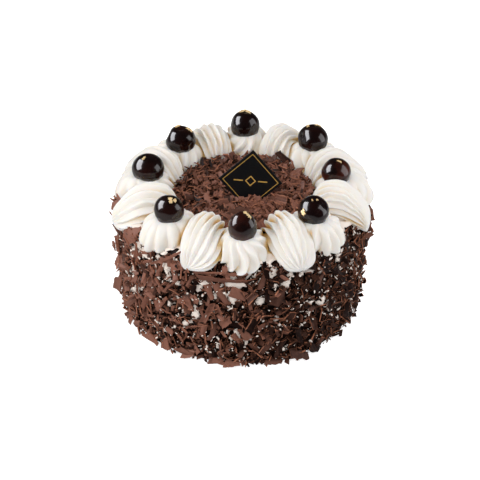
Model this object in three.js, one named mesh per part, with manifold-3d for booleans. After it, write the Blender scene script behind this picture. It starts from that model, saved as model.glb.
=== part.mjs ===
// A black forest cake: a round drum coated in whipped cream and chocolate flakes, a ring of piped
// rosettes and shells on its rim, a cherry on each rosette and a plain card standing on top.
// Millimetres, +Z up, origin at the middle of the flat base.

import * as THREE from 'three';
import { mergeVertices } from 'three/addons/utils/BufferGeometryUtils.js';
import Module from 'manifold-3d';

const wasm = await Module();
wasm.setup();

// Driving dimensions
const gap = 0.3; // kept between neighbouring pieces
const creamGap = 1.3 * gap; // kept where cream lies on both sides
const drum = { radius: 86, height: 88, foot: 1.5, rim: 5, sides: 36, wave: 0.6 };
const bulge = { depth: 4.6, at: -172, spread: 38 }; // the side where the coat is thickest
const rosette = { radius: 18, stretch: 1.22, middle: 1.5, rise: 13, drop: 6.5, droop: 0.01, fullness: 0.55 };
const shell = {
  start: 49.5, halfWidth: 15.5, narrow: 0.2, blunt: 6.5, crown: 16.5, belly: 0.45, low: -3, arch: 9, fall: 3,
  face: 0.2, tooth: 3, hingePower: 2.2, hingeSides: 1.4,
};
const flute = { count: 10, depth: 0.24, fade: 0.8, columns: 2, rows: 6 };
const ridge = { count: 12, depth: 0.22, columns: 2, rows: 6 };
const card = { side: 32.3, thickness: 0.9, x: 5, y: -9.6, z: 105.3, lean: 14, roll: -4.8 };
const disc = { radius: 47, cherryHeight: 18 };

// Each rosette with its cherry: place round the cake, distance of the rosette and of its cherry
// from the middle, twist of the flutes, the cherry's width and its height over its width.
const rosetteList = [
  { at: 1, out: 73, cherryOut: 66.5, twist: 30, cherry: 21.5, tall: 0.98 },
  { at: 43, out: 72, cherryOut: 71, twist: -25, cherry: 23.2, tall: 0.95 },
  { at: 89, out: 72, cherryOut: 69.5, twist: 35, cherry: 22.4, tall: 1.02 },
  { at: 135, out: 71, cherryOut: 66.5, twist: 15, cherry: 23, tall: 0.94 },
  { at: 175, out: 72.5, cherryOut: 69, twist: -20, cherry: 23.6, tall: 0.9 },
  { at: -136.5, out: 71.5, cherryOut: 70.5, twist: 2, cherry: 21.5, tall: 1 },
  { at: -90.5, out: 70.8, cherryOut: 70, twist: 24, cherry: 19.6, tall: 1.2 },
  { at: -46, out: 71.5, cherryOut: 69, twist: 16, cherry: 22.2, tall: 0.97 },
];

// Each shell: place round the cake, where its tail ends, how far aside its ridges converge, sideways
// bend of the tail, sideways bow of its middle, twist of its ridges, its size and how high it sits.
const shellList = [
  { at: 19, end: 96, hinge: -2, bend: 0, bow: 4, twist: 35, size: 1.04, lift: 0 },
  { at: 65, end: 94, hinge: 5, bend: 0, bow: 0, twist: 60, size: 1.03, lift: 0 },
  { at: 112, end: 93, hinge: 0, bend: 0, bow: 0, twist: 8, size: 1.03, lift: 0 },
  { at: 160, end: 96, hinge: -5, bend: 0, bow: -4, twist: -35, size: 1.04, lift: 0 },
  { at: -161, end: 96, hinge: -7, bend: 0, bow: -2, twist: -50, size: 1.03, lift: -1.5 },
  { at: -114, end: 91, hinge: -7, bend: 6.5, bow: 0.5, twist: -30, size: 1.02, lift: -0.5 },
  { at: -65, end: 93, hinge: 1, bend: 0, bow: 0, twist: 10, size: 1.02, lift: -0.5 },
  { at: -17, end: 94, hinge: -8, bend: 0, bow: 2, twist: 35, size: 1.04, lift: -0.5 },
];

// Chocolate flakes: how many, their lengths from largest to smallest, thickness and steepest tilt.
const sideFlakes = {
  count: 112, longest: 20, shortest: 9, thickness: 1.2, tilt: 26, sink: 0.3, seed: 11, lowest: 4, belowTop: 5,
};
const topFlakes = { count: 42, longest: 15, shortest: 7, thickness: 1.1, tilt: 30, sink: 0.4, seed: 29 };
const bigFlakes = [
  { at: -100, height: 77.5, length: 33, width: 9, spin: -10, tilt: -65 },
  { at: -74.7, height: 59, length: 17, width: 15, spin: 60, tilt: 8 },
  { at: -156, height: 76, length: 14, width: 11, spin: 20, tilt: 6 },
];

const bigFlakeSeed = 5;

// Uneven forms, as shares of their size: a cherry's dents and dimple, a plate's corners and width, and
// a curl's bow and width. Flakes shrink from the longest to the shortest by a power of their order.
const cherryForm = { columns: 12, rows: 6, dent: 0.02, dimple: 0.06 };
const plateForm = { corners: 4, turn: 0.6, reach: 0.12, narrowest: 0.55, spread: 0.35 };
const curlForm = { runs: 2, bow: 0.14, spread: 0.1, width: 0.35 };
const flakeShrink = 0.6;

const degrees = THREE.MathUtils.degToRad;

// A seeded row of numbers from 0 to 1.
function randomFrom(seed) {
  let state = seed;
  return () => {
    state = (state * 1664525 + 1013904223) % 4294967296;
    return state / 4294967296;
  };
}

// Solids and geometry

function solidFrom(geometry) {
  geometry.deleteAttribute('normal');
  geometry.deleteAttribute('uv');
  const welded = mergeVertices(geometry);
  return new wasm.Manifold(new wasm.Mesh({
    numProp: 3,
    vertProperties: Float32Array.from(welded.getAttribute('position').array),
    triVerts: Uint32Array.from(welded.index.array),
  }));
}

function geometryFrom(solid) {
  const { vertProperties, triVerts } = solid.getMesh();
  const geometry = new THREE.BufferGeometry();
  geometry.setAttribute('position', new THREE.BufferAttribute(vertProperties, 3));
  geometry.setIndex(new THREE.BufferAttribute(triVerts, 1));
  return geometry;
}

function joined(solids) {
  return solids.reduce((whole, next) => whole.add(next));
}

// The largest body of a solid, which leaves loose scraps and sealed hollows behind.
function mainBody(solid) {
  return solid.decompose().reduce((best, next) => (next.volume() > best.volume() ? next : best));
}

// A sphere's grid laid over another closed form: place(turn, along, point) sets the point at a
// turn of 0 to 2 pi round and 0 to 1 from the first pole to the last.
function wrappedForm(columns, rows, place) {
  const geometry = new THREE.SphereGeometry(1, columns, rows);
  const position = geometry.getAttribute('position');
  const point = new THREE.Vector3();
  for (let index = 0; index < position.count; index++) {
    const column = index % (columns + 1) % columns;
    const row = Math.floor(index / (columns + 1));
    place(2 * Math.PI * column / columns, row / rows, point);
    position.setXYZ(index, point.x, point.y, point.z);
  }
  return geometry;
}

// Sharp crests with hollow valleys between them: 0 on a crest and 1 at the bottom of a valley.
function valley(turn, count) {
  return Math.abs(Math.sin(count * turn / 2));
}

// Whipped cream drum

// How far the coat stands beyond the drum's radius: a slow wave all round and a bulge on one side.
function drumWave(turn, height) {
  const wave = drum.wave * (Math.sin(3 * turn + 0.6) + 0.6 * Math.sin(7 * turn + height / 20)) / 1.6;
  const aside = THREE.MathUtils.euclideanModulo(THREE.MathUtils.radToDeg(turn) - bulge.at + 180, 360) - 180;
  return wave + bulge.depth * Math.exp(-((aside / bulge.spread) ** 2));
}

function drumSolid(grow) {
  const { radius, height, foot, rim } = drum;
  const profile = [
    [0, -grow],
    [radius - foot, -grow],
    [radius, foot],
    [radius, height / 2],
    [radius, height - rim],
    [radius - 0.3 * rim, height - 0.3 * rim],
    [radius - rim, height],
    [0, height],
  ].map(([out, up]) => new THREE.Vector2(out > 0 ? out + grow : 0, up > foot ? up + grow : up));
  const geometry = new THREE.LatheGeometry(profile, drum.sides);
  geometry.rotateX(Math.PI / 2);
  const position = geometry.getAttribute('position');
  for (let index = 0; index < position.count; index++) {
    const x = position.getX(index);
    const y = position.getY(index);
    const z = position.getZ(index);
    const out = Math.hypot(x, y);
    const scale = out > disc.radius ? 1 + drumWave(Math.atan2(y, x), z) / out : 1;
    position.setXYZ(index, x * scale, y * scale, z);
  }
  return solidFrom(geometry);
}

// Piped cream

// A star-tip rosette: a dome whose flutes twist from the top to the base, longer across the rim
// than along it, with its outer side drooping over the edge. Its own +X points away from the middle.
function rosetteSolid({ twist }, grow) {
  const { radius, stretch, middle, rise, drop, droop, fullness } = rosette;
  const geometry = wrappedForm(flute.count * flute.columns, flute.rows, (turn, along, point) => {
    const dip = Math.PI * along;
    const spread = Math.sin(dip) ** fullness;
    const depth = flute.depth * spread * (1 - flute.fade * along ** 2);
    const reach = (radius + grow) * spread * (1 - depth * valley(turn, flute.count));
    const angle = turn + degrees(twist) * Math.cos(dip);
    const x = stretch * reach * Math.cos(angle);
    const y = reach * Math.sin(angle);
    const lift = Math.cos(dip) * ((dip < Math.PI / 2 ? rise : drop) + grow);
    point.set(x, y, middle + lift - droop * Math.max(x, 0) ** 2);
  });
  return solidFrom(geometry);
}

// How wide and how tall a shell is along its length: a blunt toothed face, a broad back and a tail
// that stays wide for longer than it stays tall.
function shellFullness(along) {
  const face = Math.max(0, 1 - along / shell.face);
  const tail = Math.max(0, (along - shell.face) / (1 - shell.face));
  const head = (1 - face ** 2) ** 0.5;
  const rounding = 0.55;
  return {
    wide: head * (1 - shell.narrow * (1 - along) ** 2) * Math.max(0, 1 - tail ** shell.blunt) ** rounding,
    tall: head * Math.max(0, 1 - tail ** 3) ** rounding,
  };
}

// A star-tip shell: a ridged rope that starts at a broad face beside the middle of the cake, swells
// and runs out over the rim to a tail where its ridges meet. Its own +X points away from the middle.
function shellSolid({ end, hinge, bend, bow, twist, size, lift }, grow) {
  const { start, halfWidth, crown, belly, low, arch, fall, face, tooth, hingePower, hingeSides } = shell;
  const geometry = wrappedForm(ridge.count * ridge.columns, ridge.rows, (turn, row, point) => {
    const along = (1 - Math.cos(row * Math.PI)) / 2;
    const { wide, tall } = shellFullness(along);
    const groove = valley(turn, ridge.count);
    const reach = size * (1 - ridge.depth * groove);
    const angle = turn + degrees(twist) * along;
    const bite = tooth * (1 - groove) * Math.max(0, 1 - along / (2 * face)) * (row > 0 ? 1 : 0);
    const side = -reach * wide * (halfWidth + grow) * Math.cos(angle);
    const aside = hinge * along ** hingePower * (1 - Math.abs(Math.cos(angle)) ** hingeSides * wide);
    const up = reach * tall * (crown + grow) * Math.sin(angle) * (Math.sin(angle) > 0 ? 1 : belly);
    point.set(
      start + (end - start) * along - bite - grow * (1 - 2 * along),
      side + bend * along ** 2 + bow * Math.sin(Math.PI * along) + aside,
      low + lift + arch * Math.sin(Math.PI * along ** 0.9) - fall * along ** 2 + up,
    );
  });
  return solidFrom(geometry);
}

// Cherry: a squat ball with a shallow dimple on top and a few soft dents.
function cherrySolid({ cherry, tall, at }, grow) {
  const radius = cherry / 2 + grow;
  const geometry = wrappedForm(cherryForm.columns, cherryForm.rows, (turn, along, point) => {
    const dip = Math.PI * along;
    const dent = cherryForm.dent * Math.sin(3 * turn + at) * Math.sin(dip) ** 2 * Math.sin(2 * dip + at);
    const dimple = along === 0 ? cherryForm.dimple : 0;
    const reach = radius * (1 + dent);
    point.set(
      reach * Math.sin(dip) * Math.cos(turn),
      reach * Math.sin(dip) * Math.sin(turn),
      radius * tall * (Math.cos(dip) - dimple),
    );
  });
  return solidFrom(geometry);
}

// Card: a thin square plate standing on one corner, in its own XZ plane.
function cardGeometry(grow) {
  const reach = card.side / Math.SQRT2 + grow * Math.SQRT2;
  const outline = new THREE.Shape();
  outline.moveTo(reach, 0);
  outline.lineTo(0, reach);
  outline.lineTo(-reach, 0);
  outline.lineTo(0, -reach);
  outline.closePath();
  const depth = card.thickness + 2 * grow;
  const geometry = new THREE.ExtrudeGeometry(outline, { depth, bevelEnabled: false });
  geometry.translate(0, 0, -depth / 2);
  geometry.rotateX(Math.PI / 2);
  return geometry;
}

// Chocolate flakes

// An uneven plate with four corners.
function plateGeometry(length, width, thickness, random) {
  const { corners, turn, reach: uneven } = plateForm;
  const outline = [];
  for (let corner = 0; corner < corners; corner++) {
    const angle = 2 * Math.PI * (corner + turn * (random() - 0.5)) / corners;
    const reach = 0.5 + uneven * (random() - 0.5);
    outline.push(new THREE.Vector2(length * reach * Math.cos(angle), width * reach * Math.sin(angle)));
  }
  const shape = new THREE.Shape(outline);
  const geometry = new THREE.ExtrudeGeometry(shape, { depth: thickness, bevelEnabled: false });
  geometry.translate(0, 0, -thickness / 2);
  return geometry;
}

// A shaving bent in the middle of its length.
function curlGeometry(length, width, thickness, random) {
  const { runs } = curlForm;
  const bow = (curlForm.bow + curlForm.spread * random()) * length;
  const outer = [];
  const inner = [];
  for (let point = 0; point <= runs; point++) {
    const across = 2 * point / runs - 1;
    const lift = bow * (1 - across ** 2);
    outer.push(new THREE.Vector2(length / 2 * across, lift + thickness / 2));
    inner.unshift(new THREE.Vector2(length / 2 * across, lift - thickness / 2));
  }
  const outline = new THREE.Shape([...inner, ...outer]);
  const geometry = new THREE.ExtrudeGeometry(outline, { depth: width, bevelEnabled: false });
  geometry.translate(0, 0, -width / 2);
  geometry.rotateX(Math.PI / 2);
  return geometry;
}

// A flake laid on the cake: basis says which way is along, across and outwards at that place.
function laidFlake(geometry, basis, spot, spin, tilt) {
  const matrix = basis.clone();
  matrix.multiply(new THREE.Matrix4().makeRotationZ(spin));
  matrix.multiply(new THREE.Matrix4().makeRotationX(tilt));
  matrix.setPosition(spot);
  geometry.applyMatrix4(matrix);
  return solidFrom(geometry);
}

function sideBasis(turn) {
  const along = new THREE.Vector3(-Math.sin(turn), Math.cos(turn), 0);
  const up = new THREE.Vector3(0, 0, 1);
  const out = new THREE.Vector3(Math.cos(turn), Math.sin(turn), 0);
  return new THREE.Matrix4().makeBasis(along, up, out);
}

function sideSpot(turn, height, sink) {
  const out = drum.radius + drumWave(turn, height) - sink;
  return new THREE.Vector3(out * Math.cos(turn), out * Math.sin(turn), height);
}

// One of a scatter of flakes: plates and curls by turns, largest first.
function scatterFlake(flakes, index, basis, spot, random) {
  const size = flakes.longest + (flakes.shortest - flakes.longest) * (index / flakes.count) ** flakeShrink;
  const shape = index % 3 === 2 ? curlGeometry : plateGeometry;
  const plateWidth = () => plateForm.narrowest + plateForm.spread * random();
  const width = size * (shape === curlGeometry ? curlForm.width : plateWidth());
  const geometry = shape(size, width, flakes.thickness, random);
  const tilt = degrees(flakes.tilt) * (2 * random() - 1);
  return laidFlake(geometry, basis, spot, 2 * Math.PI * random(), tilt);
}

// The two steps of an even scatter, as shares of each side of the area that it fills.
const evenSteps = [0.7548776662, 0.5698402910];

// Flakes spread evenly over the drum's side.
function sideFlakeSolids() {
  const { lowest, belowTop } = sideFlakes;
  const random = randomFrom(sideFlakes.seed);
  const solids = [];
  for (let index = 0; index < sideFlakes.count; index++) {
    const turn = 2 * Math.PI * (index * evenSteps[0] % 1);
    const height = lowest + (drum.height - lowest - belowTop) * (index * evenSteps[1] % 1);
    const spot = sideSpot(turn, height, sideFlakes.sink);
    solids.push(scatterFlake(sideFlakes, index, sideBasis(turn), spot, random));
  }
  return solids;
}

// Flakes spread evenly over the middle of the top.
function topFlakeSolids() {
  const random = randomFrom(topFlakes.seed);
  const solids = [];
  for (let index = 0; index < topFlakes.count; index++) {
    const turn = 2 * Math.PI * (index * evenSteps[0] % 1);
    const out = disc.radius * Math.sqrt(index * evenSteps[1] % 1);
    const spot = new THREE.Vector3(out * Math.cos(turn), out * Math.sin(turn), drum.height + topFlakes.sink);
    solids.push(scatterFlake(topFlakes, index, new THREE.Matrix4(), spot, random));
  }
  return solids;
}

// The few largest flakes, each at its own place.
function bigFlakeSolids() {
  const random = randomFrom(bigFlakeSeed);
  return bigFlakes.map(({ at, height, length, width, spin, tilt }) => {
    const turn = degrees(at);
    const geometry = plateGeometry(length, width, sideFlakes.thickness, random);
    return laidFlake(geometry, sideBasis(turn), sideSpot(turn, height, 0), degrees(spin), degrees(tilt));
  });
}

// Materials

function finish(color, roughness) {
  return new THREE.MeshStandardMaterial({ color, roughness, metalness: 0, flatShading: true });
}

function creamFinish() {
  return finish(0xf1ece4, 0.55);
}

function chocolateFinish() {
  return finish(0x4a2e25, 0.7);
}

function cherryFinish() {
  return finish(0x1c0807, 0.12);
}

function cardFinish() {
  return finish(0x121214, 0.45);
}

// Assembly

// A place on the cake's top: a group turned round the middle, with its own +X outwards.
function spotAt(at, out, height) {
  const spot = new THREE.Group();
  spot.rotation.z = degrees(at);
  spot.position.set(out * Math.cos(degrees(at)), out * Math.sin(degrees(at)), height);
  spot.updateMatrixWorld();
  return spot;
}

function inWorld(solid, spot) {
  return solid.transform(spot.matrixWorld.elements);
}

function pieceAt(spot, name, worldSolid, material) {
  const local = worldSolid.transform(spot.matrixWorld.clone().invert().elements);
  const mesh = new THREE.Mesh(geometryFrom(local), material);
  mesh.name = name;
  spot.add(mesh);
  return spot;
}

const cake = new THREE.Group();

const cherryHeight = drum.height + disc.cherryHeight;
const rosetteSpots = rosetteList.map(({ at, out }) => spotAt(at, out, drum.height));
const cherrySpots = rosetteList.map(({ at, cherryOut }) => spotAt(at, cherryOut, cherryHeight));
const shellSpots = shellList.map(({ at }) => spotAt(at, 0, drum.height));

const cardSpot = new THREE.Group();
cardSpot.position.set(card.x, card.y, card.z);
cardSpot.rotation.set(degrees(-card.lean), degrees(-card.roll), 0);
cardSpot.updateMatrixWorld();

function grownCream(grow) {
  const rosettes = rosetteList.map((item, index) => inWorld(rosetteSolid(item, grow), rosetteSpots[index]));
  const shells = shellList.map((item, index) => inWorld(shellSolid(item, grow), shellSpots[index]));
  return { rosettes, shells };
}

const grownDrum = drumSolid(gap);
const cream = grownCream(0);
const pockets = joined(rosetteList.map((item, index) => inWorld(cherrySolid(item, gap), cherrySpots[index])));
const creamPockets = grownCream(creamGap);
const cardSlot = inWorld(solidFrom(cardGeometry(gap)), cardSpot);

// Cream sits on the drum, hangs over its edge and is pressed aside by the cherries, and the shells
// give way to the rosettes.
rosetteList.forEach((item, index) => {
  const solid = mainBody(cream.rosettes[index].subtract(grownDrum).subtract(pockets));
  cake.add(pieceAt(rosetteSpots[index], `rosette_${index + 1}`, solid, creamFinish()));
  const cherry = inWorld(cherrySolid(item, 0), cherrySpots[index]);
  cake.add(pieceAt(cherrySpots[index], `cherry_${index + 1}`, cherry, cherryFinish()));
});

const rosetteRoom = joined(creamPockets.rosettes);
shellList.forEach((item, index) => {
  const cut = cream.shells[index].subtract(grownDrum).subtract(pockets).subtract(rosetteRoom);
  cake.add(pieceAt(shellSpots[index], `shell_${index + 1}`, mainBody(cut), creamFinish()));
});

// The drum with every flake that stays clear of the cream, the cherries and the floor.
function coatedDrum() {
  const keepOut = joined([pockets, rosetteRoom, ...creamPockets.shells]);
  const flakes = [...bigFlakeSolids(), ...sideFlakeSolids(), ...topFlakeSolids()];
  const fitting = flakes.filter((flake) => (
    flake.boundingBox().min[2] > gap && flake.intersect(keepOut).isEmpty()
  ));
  return mainBody(joined([drumSolid(0), ...fitting]).subtract(cardSlot));
}

const base = spotAt(0, 0, 0);
cake.add(pieceAt(base, 'cake', coatedDrum(), chocolateFinish()));

const plaque = new THREE.Mesh(cardGeometry(0), cardFinish());
plaque.name = 'card';
cardSpot.add(plaque);
cake.add(cardSpot);

export default cake;
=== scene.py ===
import math

import bpy
import numpy as np
from mathutils import Matrix, Vector


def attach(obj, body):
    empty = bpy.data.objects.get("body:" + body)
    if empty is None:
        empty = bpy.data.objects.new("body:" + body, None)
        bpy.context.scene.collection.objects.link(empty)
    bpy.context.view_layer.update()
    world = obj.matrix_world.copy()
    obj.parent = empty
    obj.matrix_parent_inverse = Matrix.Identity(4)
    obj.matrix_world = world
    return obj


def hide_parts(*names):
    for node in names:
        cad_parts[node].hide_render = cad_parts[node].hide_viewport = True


# Black forest cake: cream coat, chocolate flakes, piped rosettes and shells, cherries with gold leaf
# and a small card. Shapes are in mm, +Z up, and "at" is a place round the cake in degrees from +X.

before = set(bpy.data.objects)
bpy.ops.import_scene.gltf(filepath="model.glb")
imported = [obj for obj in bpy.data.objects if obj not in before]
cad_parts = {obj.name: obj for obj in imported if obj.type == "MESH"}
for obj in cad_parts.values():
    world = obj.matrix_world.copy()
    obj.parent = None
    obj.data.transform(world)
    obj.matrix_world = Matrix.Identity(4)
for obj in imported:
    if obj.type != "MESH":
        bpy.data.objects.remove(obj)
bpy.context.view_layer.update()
mm = 0.001
print("frame loaded:", len(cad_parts), "nodes")


def addPiece(name, points, faces, material, replaces=(), layers=None, sharpAbove=None):
    # faces is a list of index arrays, each (faces, corners); layers is {name: (domain, values)}
    mesh = bpy.data.meshes.new(name)
    points = points.reshape(-1, 3)
    corners = np.concatenate([group.ravel() for group in faces]).astype(np.int32)
    counts = np.concatenate([np.full(len(group), group.shape[1]) for group in faces])
    mesh.vertices.add(len(points))
    mesh.vertices.foreach_set("co", (points * mm).astype(np.float32).ravel())
    mesh.loops.add(len(corners))
    mesh.loops.foreach_set("vertex_index", corners)
    mesh.polygons.add(len(counts))
    mesh.polygons.foreach_set("loop_start", (np.cumsum(counts) - counts).astype(np.int32))
    mesh.update(calc_edges=True)
    mesh.polygons.foreach_set("use_smooth", np.ones(len(counts), dtype=bool))
    for layer, (domain, values) in (layers or {}).items():
        mesh.attributes.new(layer, "FLOAT", domain).data.foreach_set("value", values.astype(np.float32))
    if sharpAbove is not None:
        mesh.set_sharp_from_angle(angle=math.radians(sharpAbove))
    mesh.materials.append(material)
    piece = bpy.data.objects.new(name, mesh)
    bpy.context.scene.collection.objects.link(piece)
    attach(piece, "root")
    if replaces:
        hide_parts(*replaces)


def gridFaces(rows, columns, closed):
    # quads of a grid of points, row after row; closed joins the last column to the first
    here = np.arange(rows - 1)[:, None] * columns
    column = np.arange(columns if closed else columns - 1)[None, :]
    after = (column + 1) % columns
    corners = [here + column, here + after, here + columns + after, here + columns + column]
    return np.stack(corners, -1).reshape(-1, 4)


def closedSurface(shape, columns, rows, *details):
    # shape(turn, along, *details) gives the point at a turn of 0 to 2 pi round and 0 to 1 from pole
    # to pole; each pole is one point, joined to its ring by triangles, and all faces look outwards
    turn, along = np.meshgrid(2 * np.pi * np.arange(columns) / columns, np.arange(1, rows) / rows)
    body = shape(turn, along, *details).reshape(-1, 3)
    poles = shape(np.zeros(2), np.array([0.0, 1.0]), *details)
    points = np.concatenate([poles[:1], body, poles[1:]])
    quads = 1 + gridFaces(rows - 1, columns, True)
    column = np.arange(columns)
    after = (column + 1) % columns
    last = 1 + (rows - 2) * columns
    first = xyz(0 * column, 1 + after, 1 + column)
    end = xyz(0 * column + len(points) - 1, last + column, last + after)
    triangles = np.concatenate([quads[:, :3], quads[:, [0, 2, 3]], first, end])
    a, b, c = (points[triangles[:, corner]] for corner in range(3))
    if np.einsum("ij,ij->i", a, np.cross(b, c)).sum() < 0:  # the volume inside is negative
        quads, first, end = quads[:, ::-1], first[:, ::-1], end[:, ::-1]
    return points, [quads, first, end], turn, along


def softNoise(points, size, seed):
    # smooth unevenness from -1 to 1: a mean of sine waves in random directions, about size mm long
    draw = np.random.default_rng(seed)
    waves, lengths, peak = 9, (0.6, 1.5), 1.4
    total = 0
    for wave in range(waves):
        way = draw.normal(size=3)
        way *= 2 * np.pi / size / np.linalg.norm(way) * draw.uniform(*lengths)
        total = total + np.sin(points @ way + draw.uniform(0, 2 * np.pi))
    return total / math.sqrt(waves) / peak


def xyz(x, y, z):
    # points from their three coordinates
    return np.stack([x, y, z], -1)


def bell(distance, width):
    # 1 at no distance, a third at the width and next to nothing at twice the width
    return np.exp(-(distance / width) ** 2)


def turnFrom(turn, middle):
    # the shorter way round from a middle, in radians
    return np.angle(np.exp(1j * (turn - middle)))


def fromPolar(away, turn, height):
    # points by their distance from the cake's axis, turn round it and height
    return xyz(away * np.cos(turn), away * np.sin(turn), height)


def toPolar(points):
    # the same three measures of points
    x, y, z = np.moveaxis(points, -1, 0)
    return np.hypot(x, y), np.arctan2(y, x), z


def turned(points, at, out, height):
    # from a piece's own axes, +X outwards, to its place round the cake
    cosine, sine = math.cos(math.radians(at)), math.sin(math.radians(at))
    x = points[:, 0] + out
    return xyz(x * cosine - points[:, 1] * sine, x * sine + points[:, 1] * cosine, points[:, 2] + height)


class Wire:
    # an output socket in Python sums: an operator adds its Math node, and node() adds any other
    def __init__(self, tree, socket=None):
        self.tree, self.socket = tree, socket

    def node(self, kind, settings, inputs, out=0):
        made = self.tree.nodes.new("ShaderNode" + kind)
        for name, value in settings.items():
            setattr(made, name, value)
        for name, value in inputs.items():
            if isinstance(value, Wire):
                self.tree.links.new(value.socket, made.inputs[name])
            else:
                made.inputs[name].default_value = value
        return Wire(self.tree, made.outputs[out] if made.outputs else None)

    def math(self, operation, first, second):
        return self.node("Math", {"operation": operation}, {0: first, 1: second})

    def __add__(self, other):
        return self.math("ADD", self, other)

    __radd__ = __add__

    def __sub__(self, other):
        return self.math("SUBTRACT", self, other)

    def __rsub__(self, other):
        return self.math("SUBTRACT", other, self)

    def __mul__(self, other):
        return self.math("MULTIPLY", self, other)

    __rmul__ = __mul__

    def between(self, low, high):
        # 0 at low and 1 at high, with soft ends
        inputs = {"Value": self, "From Min": low, "From Max": high}
        return self.node("MapRange", {"interpolation_type": "SMOOTHSTEP"}, inputs)

    def mixed(self, dark, light):
        # a colour between two colours, by this value
        return self.node("Mix", {"data_type": "RGBA"}, {"Factor": self, 6: dark, 7: light}, 2)


def rgb(red, green, blue):
    return (red, green, blue, 1.0)


def addMaterial(name, socketsOf):
    # a plain shader whose socket values and links come from socketsOf(wire)
    material = bpy.data.materials.new(name)
    material.use_nodes = True
    material.node_tree.nodes.clear()
    wire = Wire(material.node_tree)
    shader = wire.node("BsdfPrincipled", {}, socketsOf(wire))
    wire.node("OutputMaterial", {}, {"Surface": shader})
    return material


def attribute(wire, name):
    return wire.node("Attribute", {"attribute_name": name}, {}, 2)


def noise(wire, scale, detail=3.0, roughness=0.5, stretch=(1, 1, 1)):
    place = wire.node("TexCoord", {}, {}, 3)
    where = wire.node("Mapping", {}, {"Vector": place, "Scale": stretch})
    inputs = {"Vector": where, "Scale": scale, "Detail": detail, "Roughness": roughness}
    return wire.node("TexNoise", {}, inputs)


def bump(wire, height, strength, depth):
    return wire.node("Bump", {}, {"Height": height, "Strength": strength, "Distance": depth * mm})


# Whipped cream: pale on the crests, with painted shade that is warmer and darker in the grooves and amber
# deep between two pieces, standing in for light bounced inside the cream.
creamLook = dict(
    crest=rgb(0.85, 0.825, 0.79), groove=rgb(0.85, 0.78, 0.68), paintedCreviceShade=rgb(0.80, 0.55, 0.20),
    roughness=0.5, bumpDepth=0.1, scatter=2.4, scatterColor=(1.0, 0.85, 0.65),
)


def creamBump(wire):
    bubbles = noise(wire, 1300, 2.0) * 0.5 + noise(wire, 420, 2.0)
    return bump(wire, bubbles, 0.25, creamLook["bumpDepth"])


def whippedSockets(wire):
    # painted shade: warmer and darker towards the grooves, mixed with some random tone
    ridged = attribute(wire, "groove") * 0.7 + noise(wire, 90) * 0.3 - 0.15
    color = ridged.mixed(creamLook["crest"], creamLook["groove"])
    return {
        # painted shade: amber where the cream lies closed in between pieces
        "Base Color": attribute(wire, "deep").between(0.58, 0.98).mixed(color, creamLook["paintedCreviceShade"]),
        "Roughness": creamLook["roughness"], "Specular IOR Level": 0.2, "Subsurface Weight": 0.6,
        "Subsurface Radius": creamLook["scatterColor"], "Subsurface Scale": creamLook["scatter"] * mm,
        "Normal": creamBump(wire),
    }


# The coat's cream under fine chocolate dust, near black so that it also paints the shade between the
# flakes, and the same without dust in bits between the flakes.
coatLook = dict(dust=rgb(0.008, 0.0026, 0.0016), bare=rgb(0.98, 0.88, 0.80), roughness=0.6, shine=0.1)


def caughtSockets(wire):
    return {
        "Base Color": coatLook["bare"], "Roughness": coatLook["roughness"],
        "Specular IOR Level": coatLook["shine"], "Normal": creamBump(wire),
    }


def coatSockets(wire):
    # the attribute bare says how much of the cream shows through the dust and its painted shade
    speck = (noise(wire, 360, 2.0, 0.6) * 0.6 + attribute(wire, "bare")).between(0.76, 0.80)
    # painted amber shade where the cream on top lies closed in between pieces
    cream = attribute(wire, "deep").between(0.5, 0.95).mixed(coatLook["bare"], creamLook["paintedCreviceShade"])
    return {**caughtSockets(wire), "Base Color": speck.mixed(coatLook["dust"], cream)}


whippedCream = addMaterial("whippedCream", whippedSockets)
coatCream = addMaterial("coatCream", coatSockets)
caughtCream = addMaterial("caughtCream", caughtSockets)

drum = dict(
    radius=86, height=88, rim=5, foot=1.5, wave=0.6, fineWave=0.6, waveLean=20, bulge=4.6, bulgeAt=-172,
    bulgeSpread=38, trowel=0.35, trowelGrain=9, bed=3.2, bedPower=0.3, swell=0.8, rimWave=1.3, rimGrain=10,
    rimSpread=6, flatTo=58, waveIn=12, discBare=51.5, discBlend=2.5, columns=600, rows=(6, 106, 36),
)
cakeTop = drum["height"]


def drumWave(turn, height):
    # the coat's slow unevenness: three waves round, seven finer ones that lean with height and a
    # bulge on one side
    fine = drum["fineWave"]
    waves = np.sin(3 * turn + 0.6) + fine * np.sin(7 * turn + height / drum["waveLean"])
    aside = np.degrees(turnFrom(turn, np.radians(drum["bulgeAt"])))
    return drum["wave"] * waves / (1 + fine) + drum["bulge"] * bell(aside, drum["bulgeSpread"])


def coatRadius(turn, height):
    # the drum's radius, rounded in at the rim and the foot
    over = np.clip((height - (cakeTop - drum["rim"])) / drum["rim"], 0, 1)
    under = np.clip(1 - height / drum["foot"], 0, 1)
    edge = drum["rim"] * (1 - np.sqrt(1 - over ** 2)) + drum["foot"] * under ** 2
    return drum["radius"] + drumWave(turn, height) - edge


# Bare patches of cream: place round the cake, height, half width and half height.
barePatches = [
    (-107, 70, 7, 4), (-94, 71, 11, 3.4), (-77, 79, 5, 4.5), (-70, 67, 5, 5), (-82, 56, 6, 4.6),
    (-95, 60, 3.8, 5.5), (-112, 41, 3.8, 6), (-57, 72, 5.4, 4), (-36, 77, 4, 3.4), (-128, 74, 6, 4),
    (-142, 75, 4, 7), (-158, 74, 5, 6), (-151, 62, 4, 5), (-133, 66, 4, 3), (-121, 63, 4, 3),
    (-141, 52, 4, 4), (-126, 44, 3, 3), (-152, 36, 4, 5), (-118, 30, 4, 3),
]
# Small gaps in loose groups all round: how many, gaps in each, how far apart and how large, the
# highest, and a power below 1 that sets more of them high up.
gapGroups = dict(count=64, each=4, spread=5, radius=(1.3, 3.2), top=84, high=0.65, seed=74)


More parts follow.
